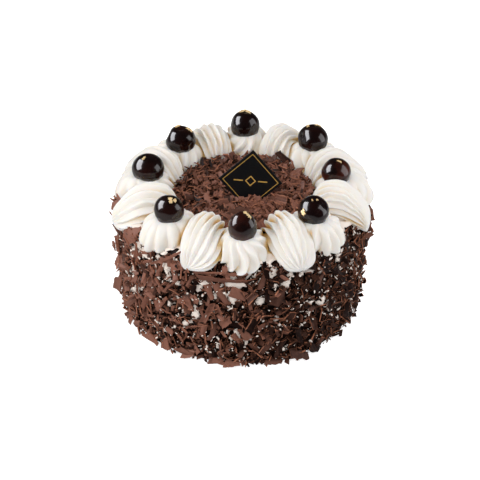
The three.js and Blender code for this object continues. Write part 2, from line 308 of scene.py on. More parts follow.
def creamGaps():
    # every gap as its turn, height and two half sizes
    draw = np.random.default_rng(gapGroups["seed"])
    groups, many = gapGroups["count"], gapGroups["count"] * gapGroups["each"]
    turn = draw.uniform(-np.pi, np.pi, groups)
    height = gapGroups["top"] * draw.uniform(0.02, 1, groups) ** gapGroups["high"]
    turn, height = (np.repeat(place, gapGroups["each"]) for place in (turn, height))
    turn = turn + draw.normal(0, gapGroups["spread"], many) / drum["radius"]
    height = height + draw.normal(0, gapGroups["spread"], many)
    size = draw.uniform(*gapGroups["radius"], many)
    large = [(math.radians(at), *rest) for at, *rest in barePatches]
    return np.concatenate([large, np.stack([turn, height, size, size], -1)])


gaps = creamGaps()


def inGap(turn, height, some):
    # how deep inside some gap a place on the side lies: 1 in its middle, falling off as a bell curve
    nearest = np.full(np.shape(turn), 99.0)
    for middle, level, wide, tall in some:
        aside = turnFrom(turn, middle) * drum["radius"] / wide
        nearest = np.minimum(nearest, aside ** 2 + ((height - level) / tall) ** 2)
    return np.exp(-nearest)


# How the coat shows: sizes of its grains, the band with more bare specks, how rare specks are and how
# soft their edges, and where the bare rim begins.
bareLook = dict(
    grains=(6.5, 30, 2.4), seed=77, band=77, bandSpread=9, rare=0.84, soft=0.3, gapEdge=0.45, gapSlope=1.6,
    rim=85.5, rimBlend=1.5,
)


def bareness(turn, height):
    # how much of the side's cream shows, from 0 to 1: the largest of scattered specks from soft
    # noise, the gaps with noise on their edges, and the rim
    point = fromPolar(drum["radius"], turn, height)
    grains = enumerate(bareLook["grains"], bareLook["seed"])
    small, large, fine = (softNoise(point, size, seed) for seed, size in grains)
    scattered = small + 0.4 * large + 0.5 * bell(height - bareLook["band"], bareLook["bandSpread"])
    scattered = scattered - 0.04 * np.sin(turn - 1.9) - bareLook["rare"]
    gap = bareLook["gapSlope"] * (inGap(turn, height, gaps) - bareLook["gapEdge"]) + 0.4 * small + 0.45 * fine
    rim = (height - bareLook["rim"] + 1.2 * small) / bareLook["rimBlend"]
    return np.clip(np.maximum(np.maximum(scattered, gap) / bareLook["soft"], rim), 0, 1)


def coatPoint(turn, along):
    # a drum drawn in one line: out along the base, up the side, in along the top; the side is sunk as
    # a bed for the flakes where no cream shows, trowel marks run up it and the rim is wavy
    reach = drum["radius"]
    length = 2 * reach + cakeTop
    steps = np.cumsum([0, *drum["rows"]])
    walk = np.interp(along * steps[-1], steps, [0, reach, reach + cakeTop, length])
    up = np.clip(walk - reach, 0, cakeTop)
    bare = bareness(turn, up)
    sunk = drum["bed"] * (1 - bare) - drum["swell"] * bare
    edge = coatRadius(turn, up) - np.sin(np.pi * (up / cakeTop)) ** drum["bedPower"] * sunk
    inside = np.minimum(np.minimum(walk, length - walk) / reach, 1)
    out = inside * edge
    point = fromPolar(out, turn, up)
    marks = drum["trowel"] * softNoise(point * (1, 1, 0.35), drum["trowelGrain"], 3) * (inside > 0.999)
    nearRim = bell(up - cakeTop, drum["rimSpread"]) * np.clip((out - drum["flatTo"]) / drum["waveIn"], 0, 1)
    marks = marks + drum["rimWave"] * nearRim * softNoise(point, drum["rimGrain"], 5)
    point[..., 2] += drum["rimWave"] * nearRim * softNoise(point, drum["rimGrain"], 6)
    return point + marks[..., None] * fromPolar(1, turn, 0 * turn)


def starValley(turn, count, lobes, skew):
    # 0 on each crest of a star-shaped section and 1 in the hollow between two: lobes 0 gives sharp
    # crests and round hollows, lobes 1 round crests and sharp hollows; skew leans the crests
    step = np.mod(count * turn / (2 * np.pi), 1)
    leaned = step ** (1 + skew) if skew >= 0 else 1 - (1 - step) ** (1 - skew)
    return (1 - lobes) * np.sin(np.pi * leaned) + lobes * (1 - np.abs(np.cos(np.pi * leaned)))


rosette = dict(
    radius=18, stretch=1.22, middle=1.5, rise=13, drop=6.5, droop=0.010, fullness=0.55, vary=0.25,
    fade=0.93, footAt=0.66, footSpread=0.1, columns=200, rows=84, unevenness=0.45, grain=14,
)
# Each rosette: place round the cake, distance out, twist of its flutes and their swing at half height,
# how many flutes, how deep, lobed and leaned they are, and how far the foot of each spreads.
rosetteList = [
    (1, 73, 30, 10, 10, 0.2, 0.7, 0.4, 0.4), (43, 72, -25, 0, 10, 0.32, 0.4, 0.4, 1),
    (89, 72, 35, 0, 10, 0.25, 0.3, 0.3, 0.5), (135, 71, 15, 0, 10, 0.3, 0.5, 0.2, 1),
    (175, 72.5, -20, 0, 10, 0.2, 0.7, 0.3, 0.5), (-136.5, 71.5, 0, 2, 11, 0.19, 0.85, 0.2, 0.2),
    (-90.5, 70.8, 16, 40, 12, 0.27, 0.25, -0.5, 0.3), (-46, 71.5, 6, 8, 12, 0.26, 0.42, -0.3, 0.4),
]


def rosettePoint(turn, along, at, out, twist, swing, flutes, depth, lobes, skew, foot):
    # a dome whose star-shaped section twists from the top to the base, with flutes of uneven depth;
    # longer outwards than along the rim, with its outer side drooping over the edge
    dip = np.pi * along
    spread = np.sin(dip) ** rosette["fullness"]
    flute = starValley(turn, flutes, lobes, skew)
    vary = 1 + rosette["vary"] * np.sin(3 * turn + at) * np.sin(2 * turn + 1.7 * at)
    foot = foot * (1 - flute) * bell(along - rosette["footAt"], rosette["footSpread"])
    depth = depth * vary * spread * (1 - rosette["fade"] * along ** 2)
    reach = rosette["radius"] * spread * (1 - depth * flute) + foot
    angle = turn + np.radians(twist * np.cos(dip) + swing * np.sin(dip) ** 2)
    x = rosette["stretch"] * reach * np.cos(angle)
    lift = np.cos(dip) * np.where(dip < np.pi / 2, rosette["rise"], rosette["drop"])
    z = rosette["middle"] + lift - rosette["droop"] * np.maximum(x, 0) ** 2 - 0.5 * foot
    point = xyz(x, reach * np.sin(angle), z)
    uneven = softNoise(point, rosette["grain"], 400 + int(at))
    return point + rosette["unevenness"] * uneven[..., None] * [1, 1, 0.4]


shell = dict(
    start=49.5, halfWidth=15.5, narrow=0.2, crown=16.5, belly=0.45, low=-3, arch=9, fall=3, dip=6,
    dipReach=0.07, frill=1.5, frillAt=0.93, frillSpread=0.07, hingePower=2.2, blunt=6.5, taper=0.55,
    flankSpread=0.5, smooth=0.85, columns=300, rows=120, unevenness=0.35, grain=13,
)
# Each shell: where its tail ends, how far aside its ridges converge (hinge), bow of its middle and bend
# of its tail, twist of its ridges and how early it comes, size, number of ridges, how deep, lobed and
# leaned they are, where round it (degrees, 90 on top) a smooth flank lies, lift, share of the length
# that is the blunt face, how much deeper the ridges are there (crown) and how long its teeth are, and
# for ridges in arcs round one point that point and the step between two arcs.
usualShell = dict(hinge=0, bow=0, twist=0, early=1, size=1.03, lobes=0.4, lift=0, bend=0, face=0.2, crown=0,
                  tooth=3, arcs=None, step=0)
shellList = [dict(usualShell, **item) for item in (
    dict(at=19, end=96, hinge=-2, bow=4, twist=35, size=1.04, ridges=12, depth=0.11, lobes=0.8, skew=0.3,
         flank=160),
    dict(at=65, end=94, hinge=5, early=0.8, ridges=15, depth=0.17, lobes=0.5, skew=0.3, flank=270, face=0.14,
         arcs=(63, -15, 6), step=4.6),
    dict(at=112, end=93, twist=4, ridges=15, depth=0.24, lobes=0.45, skew=0.1, flank=270, face=0.08,
         tooth=1.5),
    dict(at=160, end=96, hinge=-5, bow=-4, twist=-35, size=1.04, ridges=12, depth=0.1, lobes=0.8, skew=-0.3,
         flank=20),
    dict(at=-161, end=96, hinge=-7, bow=-2, twist=-50, ridges=13, depth=0.24, lobes=0.5, skew=-0.4, flank=20,
         lift=-1.5, crown=0.2),
    dict(at=-114, end=91, hinge=-7, bow=0.5, twist=-30, early=0.5, size=1.02, ridges=17, depth=0.19, skew=0.5,
         flank=300, lift=-0.5, bend=6.5, tooth=4, crown=1.1),
    dict(at=-65, end=93, hinge=0.3, size=1.02, ridges=16, depth=0.16, skew=0.1, flank=180, lift=-0.5, tooth=6,
         crown=1.8),
    dict(at=-17, end=94, hinge=-8, bow=2, twist=35, size=1.04, ridges=19, depth=0.17, skew=0.4, flank=185,
         lift=-0.5, tooth=1),
)]


def shellAlong(row):
    # the share of its length that a shell has reached at a row: rows lie closer at both ends
    return 1 - np.cos(row * np.pi / 2) * (1 - 0.25 * row)


def shellArch(along):
    # how high a shell's middle line rises: half a sine wave, highest a little before half way
    return shell["arch"] * np.sin(np.pi * along ** 0.9)


def ridgeTurn(turn, along, wide, item):
    # where round the shell a ridge lies: on its turn, or for ridges in arcs on the distance from
    # their middle, counted in steps between two arcs
    if item["arcs"] is None:
        return turn
    x, y, z = item["arcs"]
    aside = shell["start"] + (item["end"] - shell["start"]) * along - x
    across = -wide * shell["halfWidth"] * np.cos(turn) - y
    up = wide * shell["crown"] * np.sin(turn) + shellArch(along) - z
    return 2 * np.pi / item["ridges"] * np.sqrt(aside ** 2 + across ** 2 + up ** 2) / item["step"]


def shellPoint(turn, row, item):
    # a ridged hump along a rising and falling line: a blunt toothed face beside the middle of the
    # cake, a broad back and a blunt outer end, where the ridges meet in one point, the hinge, which
    # may lie well to one side
    start, end, face, at = shell["start"], item["end"], item["face"], item["at"]
    along = shellAlong(row)
    tail = np.maximum(0, (along - face) / (1 - face))
    head = np.sqrt(np.maximum(0, 1 - np.maximum(0, 1 - along / face) ** 2))
    narrow = 1 - shell["narrow"] * (1 - along) ** 2
    wide = head * narrow * np.maximum(0, 1 - tail ** shell["blunt"]) ** shell["taper"]
    tall = head * np.maximum(0, 1 - tail ** 3) ** shell["taper"]
    groove = starValley(ridgeTurn(turn, along, wide, item), item["ridges"], item["lobes"], item["skew"])
    vary = 1 + 0.2 * np.sin(2 * turn + at) * np.sin(5 * turn + 2 * at)
    flank = 1 - shell["smooth"] * bell(turnFrom(turn, np.radians(item["flank"])), shell["flankSpread"])
    depth = item["depth"] * vary * (1.3 - 0.45 * along) * flank
    depth = depth * (1 + item["crown"] * bell(along, 0.3))
    ridged = item["size"] * (1 - depth * groove)
    angle = turn + np.radians(item["twist"]) * along ** item["early"]
    sine, cosine = np.sin(angle), np.cos(angle)
    upper = 0.25 + 0.75 * np.clip(sine, 0, 1)
    bite = item["tooth"] * upper * (1 - groove) * np.maximum(0, 1 - along / (2 * face)) * (row > 0)
    frill = shell["frill"] * (1 - groove) * bell(along - shell["frillAt"], shell["frillSpread"])
    x = start + (end - start) * along - bite + frill
    y = ridged * shell["halfWidth"] * (-wide * cosine) + item["bow"] * np.sin(np.pi * along)
    y = y + item["bend"] * along ** 2
    y = y + item["hinge"] * along ** shell["hingePower"] * (1 - np.abs(cosine) ** 1.4 * wide)
    up = tall * ridged * shell["crown"] * sine * np.where(sine > 0, 1, shell["belly"])
    z = shell["low"] + item["lift"] + shellArch(along) - shell["fall"] * along ** 2 + up
    z = z - shell["dip"] * np.exp(-along / shell["dipReach"])
    point = xyz(x, y, z)
    uneven = softNoise(point, shell["grain"], 800 + int(at))
    return point + shell["unevenness"] * uneven[..., None] * [0.4, 1, 1]


def creamPieces():
    # every piped piece as (name, points, faces, how deep in a groove each point lies)
    pieces = []
    for number, item in enumerate(rosetteList, 1):
        points, faces, turn, along = closedSurface(rosettePoint, rosette["columns"], rosette["rows"], *item)
        at, out, twist, swing, flutes, depth, lobes, skew, foot = item
        groove = starValley(turn, flutes, 0.5, skew) ** 1.5 * np.sin(np.pi * along)
        pieces.append((f"rosette_{number}", turned(points, at, out, cakeTop), faces, groove))
    for number, item in enumerate(shellList, 1):
        points, faces, turn, along = closedSurface(shellPoint, shell["columns"], shell["rows"], item)
        ridge = ridgeTurn(turn, shellAlong(along), np.maximum(0, 1 - along ** 6), item)
        groove = starValley(ridge, item["ridges"], 0.5, item["skew"]) ** 1.5 * (1 - along ** 4)
        pieces.append((f"shell_{number}", turned(points, item["at"], 0, cakeTop), faces, groove))
    return pieces


# How closed in the cream is, which places the painted amber shade between pieces: the box of cells round
# the ring, in mm, how far the cells that hold cream are blurred, in cells, and how far outside a surface the
# blur is read.
paintedCreviceShade = dict(low=(-104, -104, 74), size=(208, 208, 48), cell=1.0, blur=2.6, lift=1.6)


def cellOf(points):
    # the cell that holds each point
    return np.floor((points - paintedCreviceShade["low"]) / paintedCreviceShade["cell"]).astype(int)


def blurredFill(points):
    # cells that hold a point are filled with 1, and blurred by a Gaussian through a Fourier transform
    size = np.array(paintedCreviceShade["size"])
    index = cellOf(points)
    filled = np.zeros(size)
    filled[tuple(index[np.all((index >= 0) & (index < size), axis=1)].T)] = 1
    waves = sum(np.meshgrid(*[np.fft.fftfreq(count) ** 2 for count in size], indexing="ij"))
    return np.real(np.fft.ifftn(np.fft.fftn(filled) * np.exp(-2 * (np.pi * paintedCreviceShade["blur"]) ** 2 * waves)))


def closedIn(points, faces):
    # the blurred fill a little way outside each point, along the mean direction of the faces there,
    # as a share of the deepest
    a, b, c, d = (points[faces[0][:, corner]] for corner in range(4))
    across = np.cross(c - a, d - b)
    normals = np.zeros_like(points)
    for corner in range(4):
        np.add.at(normals, faces[0][:, corner], across)
    normals /= np.maximum(np.linalg.norm(normals, axis=1, keepdims=True), 1e-9)
    index = np.clip(cellOf(points + paintedCreviceShade["lift"] * normals), 0, np.array(paintedCreviceShade["size"]) - 1)
    return fill[tuple(index.T)] / deepest


coatPoints, coatFaces = closedSurface(coatPoint, drum["columns"], sum(drum["rows"]))[:2]
piped = creamPieces()
fill = blurredFill(np.concatenate([points for name, points, faces, groove in piped] + [coatPoints]))
deepest = np.percentile(fill[fill > 0.01], 99)

for name, points, faces, groove in piped:
    # groove and deep place the painted shade in the grooves and between pieces
    layers = {"groove": ("POINT", np.concatenate([[0], groove.ravel(), [0]])),
              "deep": ("POINT", np.clip(closedIn(points, faces), 0, 1))}
    addPiece(f"cream_{name}", points, faces, whippedCream, [name], layers)


def addCoat():
    # bare on the side as the gaps say; on top bare outside the disc of flakes, and there how closed in it is,
    # for the painted amber shade
    away, turn, height = toPolar(coatPoints)
    onTop = height > cakeTop - 0.5
    outside = np.clip((away - drum["discBare"]) / drum["discBlend"], -3, 3)
    layers = {"bare": ("POINT", np.where(onTop, outside, bareness(turn, height))),
              "deep": ("POINT", np.where(onTop, closedIn(coatPoints, coatFaces), 0))}
    addPiece("creamCoat", coatPoints, coatFaces, coatCream, ["cake"], layers)


addCoat()
print("cream: coat and", len(piped), "piped pieces")

# Matt chocolate with fine streaks: shade runs from dark to light faces, a random tone mixed with painted
# light and shade by side and depth, edge to pale broken edges.
chocolateLook = dict(
    dark=rgb(0.010, 0.0032, 0.0020), light=rgb(0.275, 0.120, 0.083), broken=rgb(0.50, 0.20, 0.113),
    roughness=0.5,
)


def chocolateSockets(wire):
    streaks = noise(wire, 420, 4.0, 0.6, (1, 1, 0.35))
    face = attribute(wire, "shade") * 0.9 + streaks * 0.5 - 0.25
    face = face.mixed(chocolateLook["dark"], chocolateLook["light"])
    grain = noise(wire, 1500, 3.0, 0.6) + streaks
    return {
        "Base Color": (attribute(wire, "edge") * 0.8).mixed(face, chocolateLook["broken"]),
        "Roughness": streaks * 0.25 + (chocolateLook["roughness"] - 0.12), "Specular IOR Level": 0.1,
        "Normal": bump(wire, grain, 0.4, 0.08),
    }


chocolate = addMaterial("chocolate", chocolateSockets)


def plateGrid(cells):
    # a plate's own two directions, each from -1 to 1
    return np.meshgrid(*[np.linspace(-1, 1, cell + 1) for cell in cells], indexing="ij")


def plateFaces(cells, count):
    # faces of many plates, each with an upper and a lower sheet of points and a rim, and which of
    # them are rims
    long, wide = cells
    sheet = (long + 1) * (wide + 1)
    upper = gridFaces(long + 1, wide + 1, False)[:, ::-1]
    grid = np.arange(sheet).reshape(long + 1, wide + 1)
    ring = np.concatenate([grid[0, :-1], grid[:-1, -1], grid[-1, :0:-1], grid[:0:-1, 0]])
    after = np.roll(ring, -1)
    rim = np.stack([ring, after, after + sheet, ring + sheet], -1)
    faces = np.concatenate([upper, upper[:, ::-1] + sheet, rim])
    flags = np.concatenate([np.zeros(2 * len(upper)), np.ones(len(rim))])
    return (faces[None] + (np.arange(count) * 2 * sheet)[:, None, None]).reshape(-1, 4), np.tile(flags, count)


# What each size of flake is like: lengths in mm, share of the length that is its width and the widest,
# thickness, cells along and across, raggedness of its ends, roll, bow and twist, steepest tilt, how
# much of its face is pale as its edges, a power above 1 that favours short ones, and sharp angle.
usualKind = dict(roll=0.1, bow=0.05, twist=0.1, widest=9, favour=1.6, broken=0)
crumb = dict(usualKind, length=(0.8, 2.2), slim=(0.5, 1.0), thick=(0.35, 0.8), cells=(1, 1), ragged=0.5,
             bow=0, tilt=85, sharp=25, broken=0.35)
chip = dict(usualKind, length=(2.6, 5.8), slim=(0.3, 0.75), thick=(0.4, 0.8), cells=(1, 1), ragged=0.26,
            twist=0.15, tilt=64, sharp=20, broken=0.1)
flake = dict(usualKind, length=(4.6, 10), slim=(0.26, 0.56), thick=(0.5, 1.0), cells=(2, 2), ragged=0.2,
             roll=1.1, bow=0.08, twist=0.2, tilt=54, sharp=30, widest=5.6, favour=1.4)
shaving = dict(usualKind, length=(9, 15), slim=(0.25, 0.7), thick=(0.6, 1.1), cells=(5, 3), ragged=0.22,
               roll=1.2, bow=0.12, twist=0.3, tilt=38, sharp=40, widest=7)
bit = dict(crumb, length=(0.7, 2.4), slim=(0.45, 0.9), thick=(0.4, 0.8), sharp=89)
plateLook = dict(taper=0.7, skew=0.7, crumple=0.12, uneven=(0.7, 1.15), leastRoll=0.05)


def each(values):
    # one value for each plate, against the plate's grid
    return values[:, None, None]


def brokenPlates(draw, count, kind):
    # broken shavings: plates with ragged ends, skewed and tapered, rolled across their width on an
    # arc, bowed along their length by a parabola and twisted; +Z is their face
    u, v = plateGrid(kind["cells"])
    short, long = kind["length"]
    length = short + (long - short) * draw.uniform(0, 1, count) ** kind["favour"]
    width = np.clip(length * draw.uniform(*kind["slim"], count), short * kind["slim"][0], kind["widest"])
    thick = draw.uniform(*kind["thick"], count)
    ends = draw.uniform(-1, 1, (count, 2, u.shape[1]))
    sides = draw.uniform(-1, 1, (count, 2, u.shape[0]))
    endShift = np.where(u > 0, ends[:, 1][:, None, :], ends[:, 0][:, None, :]) * np.abs(u) ** 2
    sideShift = np.where(v > 0, sides[:, 1][:, :, None], sides[:, 0][:, :, None]) * np.abs(v) ** 2
    taper = each(draw.uniform(0, plateLook["taper"], count) ** 2)
    skew = each(draw.uniform(-plateLook["skew"], plateLook["skew"], count))
    x = each(length / 2) * (u + kind["ragged"] * 0.5 * endShift)
    y = each(width / 2) * (v + kind["ragged"] * sideShift) * (1 - taper * (u + 1) / 2)
    x = x + skew * y
    roll, bow, twist = (each(draw.uniform(-1, 1, count) * kind[name]) for name in ("roll", "bow", "twist"))
    flat = np.abs(roll) < plateLook["leastRoll"]
    radius = each(width / 2) / np.where(flat, plateLook["leastRoll"], roll)
    turn = roll * y / each(width / 2)
    z = np.where(flat, 0, radius * (1 - np.cos(turn))) + bow * each(length / 2) * (1 - u ** 2)
    z = z + draw.uniform(-1, 1, z.shape) * plateLook["crumple"] * each(thick)
    y = np.where(flat, y, radius * np.sin(turn))
    twist = twist * u
    y, z = y * np.cos(twist) - z * np.sin(twist), y * np.sin(twist) + z * np.cos(twist)
    thin = each(thick) / 2 * draw.uniform(*plateLook["uneven"], x.shape)
    sheets = [xyz(x, y - off * np.sin(turn), z + off * np.cos(turn)) for off in (thin, -thin)]
    return np.stack(sheets, 1).reshape(count, -1, 3)


def rotation(axis, angle):
    # one rotation matrix for each angle, about the x, y or z axis
    matrix = np.zeros((len(angle), 3, 3))
    first, second = [(1, 2), (2, 0), (0, 1)][axis]
    matrix[:, axis, axis] = 1
    matrix[:, first, first] = matrix[:, second, second] = np.cos(angle)
    matrix[:, first, second] = -np.sin(angle)
    matrix[:, second, first] = np.sin(angle)
    return matrix


def rotated(matrices, plates):
    # each plate's points turned by its own matrix
    return np.einsum("nij,nkj->nki", matrices, plates)


tiltSpread = dict(roll=(0.55, 1.6), pitch=(0.45, 1.4))  # usual and largest share of a kind's tilt


def tilted(draw, plates, kind):
    # each plate spun in its own plane, then rolled and pitched by a random share of the tilt
    spin = draw.uniform(0, 2 * np.pi, len(plates))
    roll, pitch = (np.clip(draw.normal(0, usual, len(plates)), -most, most) * np.radians(kind["tilt"])
                   for usual, most in tiltSpread.values())
    return rotated(rotation(2, spin) @ rotation(0, roll) @ rotation(1, pitch), plates)


def offCoat(placed):
    # how far each point lies out from the coat's side
    away, turn, height = toPolar(placed)
    return away - coatRadius(turn, np.clip(height, 0, cakeTop))


# Limits in mm: lowest point, how far flakes may reach under the cream ring and be pushed down for it,
# how far they may stand off, where they are laid before they are moved in, how far out the ring
# overhangs, and how deep in a gap or a named patch they may reach, from 0 to 1.
flakeLimits = dict(
    floor=0.25, underCream=2.4, pushed=2.5, standOff=8.6, layAt=100.0, overhang=84, overGap=0.94,
    overPatch=0.84,
)


def onSide(plates, turn, height, stand):
    # lays plates outside the coat at a turn and height, and moves each inwards until its innermost
    # point stands off the coat by stand (below 0 it is pressed in)
    flat = 0 * turn
    up, out = fromPolar(0, turn, flat + 1), fromPolar(1, turn, flat)
    along = xyz(-np.sin(turn), np.cos(turn), flat)
    placed = rotated(xyz(along, up, out), plates)
    placed = placed + (out * flakeLimits["layAt"] + up * height[:, None])[:, None, :]
    return placed + ((stand - offCoat(placed).min(axis=1))[:, None] * out)[:, None, :]


def wholeDegree(turn):
    # the nearest whole degree, from 0 to 359
    return np.round(np.degrees(turn)).astype(int) % 360


def creamUnderside():
    # lowest height of the piped ring outside the drum's rim, by degrees round the cake
    away, turn, height = toPolar(np.concatenate([points for name, points, faces, groove in piped]))
    outside = away > flakeLimits["overhang"]
    low = np.full(360, float(cakeTop))
    np.minimum.at(low, wholeDegree(turn[outside]), height[outside])
    return low


underside = creamUnderside()


def kept(placed):
    # keeps plates off the floor, under the cream ring, inside the cake's reach and out of the gaps
    placed[..., 2] += np.maximum(0, flakeLimits["floor"] - placed[..., 2].min(axis=1))[:, None]
    away, turn, height = toPolar(placed)
    roof = underside[wholeDegree(turn)].min(axis=1) + flakeLimits["underCream"]
    above = np.maximum(0, height.max(axis=1) - roof)
    placed[..., 2] -= above[:, None]
    clear = inGap(turn, height, gaps).max(axis=1) < flakeLimits["overGap"]
    clear &= inGap(turn, height, gaps[:len(barePatches)]).max(axis=1) < flakeLimits["overPatch"]
    clear &= offCoat(placed).max(axis=1) < flakeLimits["standOff"]
    return placed[clear & (above < flakeLimits["pushed"])]


# How pale flakes are: a random tone of mean and spread; painted light on outer ones; painted light round
# one place of the side and painted shade opposite it, no lower than least; paler round backAt, which lifts
# that painted shade at the back; painted shade for each mm in from the middle depth and painted light for
# each mm out, within limits; painted shade on the rims of inner flakes, which keep rim of their paleness;
# and the random range of paleness of their broken edges.
flakeShade = dict(
    mean=-0.77, spread=0.52, outer=0.5, left=1.28, paintedSideLightAt=195, least=-0.6, back=0.8, backAt=70, paintedDepthShade=0.23,
    middle=1.9, limits=(-0.6, 0.4), rim=0.3, edge=(0.15, 1),
)


def addFlakes(name, placed, kind, draw, outer, pale=None, material=chocolate):
    # outer, from 0 to 1, says how far out each piece lies, and outer pieces get painted light on their
    # faces and rims; broken edges are unevenly pale
    look = flakeShade
    faces, rims = plateFaces(kind["cells"], len(placed))
    if pale is None:
        pale = draw.normal(look["mean"], look["spread"], len(placed)) + look["outer"] * outer ** 1.5
    away, turn, height = toPolar(placed)
    first = turn[:, 0]
    # painted light on one side of the cake and painted shade opposite it; none on top
    side = np.maximum(look["left"] * np.cos(first - math.radians(look["paintedSideLightAt"])), look["least"])
    side = side + look["back"] * np.maximum(0, np.cos(first - math.radians(look["backAt"])))
    side = np.where(height[:, 0] > cakeTop, 0, side)
    # painted shade for flakes that lie deep, painted light for those that stand out
    depth = np.maximum(offCoat(placed), height - cakeTop)
    shade = (pale + side)[:, None] + np.clip(look["paintedDepthShade"] * (depth - look["middle"]), *look["limits"])
    # painted shade: the rims of inner flakes are darker
    rim = np.repeat(look["rim"] + (1 - look["rim"]) * outer, len(faces) // len(placed))
    edge = (kind["broken"] + (1 - kind["broken"]) * rims) * draw.uniform(*look["edge"], len(faces)) * rim
    layers = {"shade": ("POINT", np.clip(shade, 0, 1).ravel()), "edge": ("FACE", edge)}
    addPiece(name, placed, [faces], material, (), layers, kind["sharp"])
    print(name, len(placed), "pieces,", 2 * len(faces), "triangles")


# Each layer on the side: name, kind, how many are drawn, how far they stand off, how shy of the gaps
# they are, and seed.
sideLayers = [
    ("sideCrumbs", crumb, 5600, (-2.2, 1.8), 0.8, 101), ("sideChips", chip, 3900, (-2.3, 1.7), 0.62, 102),
    ("sideFlakes", flake, 1350, (-1.6, 1.9), 0.5, 103), ("sideShavings", shaving, 120, (-0.4, 1.4), 0.5, 104),
]
bits = dict(count=4600, stand=(-0.2, 2.2), usual=0.26, onOneSide=0.08, high=0.12, seed=106)


def strewn(draw, kind, count, heights, stays, stand):
    # plates strewn over the side at some heights, pressed in or standing off the coat, where
    # stays(luck, turn, height) lets them
    turn = draw.uniform(-np.pi, np.pi, count)
    height = draw.uniform(*heights, count)
    stay = stays(draw.uniform(0, 1, count), turn, height)
    plates = tilted(draw, brokenPlates(draw, count, kind), kind)
    return kept(onSide(plates[stay], turn[stay], height[stay], draw.uniform(*stand, count)[stay]))


def addSideLayer(name, kind, count, stand, shy, seed):
    def offGaps(luck, turn, height):
        return luck > shy * bareness(turn, height)

    draw = np.random.default_rng(seed)
    placed = strewn(draw, kind, count, (0.5, cakeTop - 1), offGaps, stand)
    addFlakes(name, placed, kind, draw, np.clip(offCoat(placed).max(axis=1) / 5, 0, 1))


def moreHighUp(luck, turn, height):
    # and more on one side
    share = bits["usual"] + bits["onOneSide"] * np.cos(turn + 1.2)
    return luck < share + bits["high"] * (height / cakeTop) ** 3


def addBits():
    # small bits of cream caught between the flakes
    draw = np.random.default_rng(bits["seed"])
    placed = strewn(draw, bit, bits["count"], (1, cakeTop - 2), moreHighUp, bits["stand"])
    addFlakes("creamBits", placed, bit, draw, np.ones(len(placed)), None, caughtCream)


for layer in sideLayers:
    addSideLayer(*layer)
addBits()

